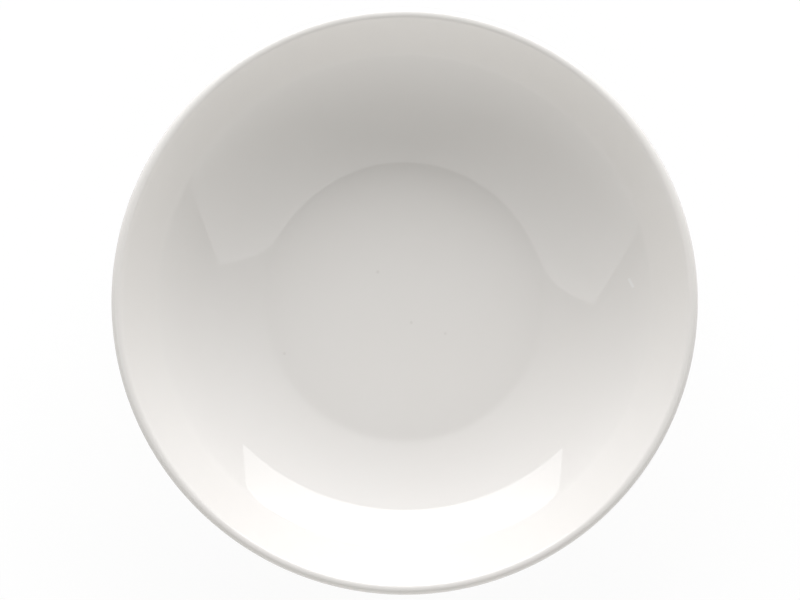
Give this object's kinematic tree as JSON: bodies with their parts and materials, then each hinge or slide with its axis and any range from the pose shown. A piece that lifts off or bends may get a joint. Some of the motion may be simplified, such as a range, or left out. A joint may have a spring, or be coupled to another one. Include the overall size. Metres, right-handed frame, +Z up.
{
  "type": "soup plate",
  "caption": "Round rimless soup plate in white glazed porcelain, with a flat well, a rising wall, a steeper brim, a rounded lip and a bare foot ring.",
  "frame": {"origin": "centre of the foot ring, level with its bare face, where the plate stands on the table", "axes": "+Z up along the axis of the plate; it is round, so X and Y are free, and -Y faces the diner"},
  "size_m": [0.23, 0.23, 0.0414],
  "materials": {
    "bare_porcelain": "fired clay without glaze, matt and smooth, seen only on the face of the foot ring",
    "white_glaze": "glossy, slightly warm white glaze"
  },
  "bodies": {
    "root": {"porcelain_body": "bare_porcelain", "glaze_coat": "white_glaze", "base_glaze": "white_glaze"}
  },
  "joints": []
}
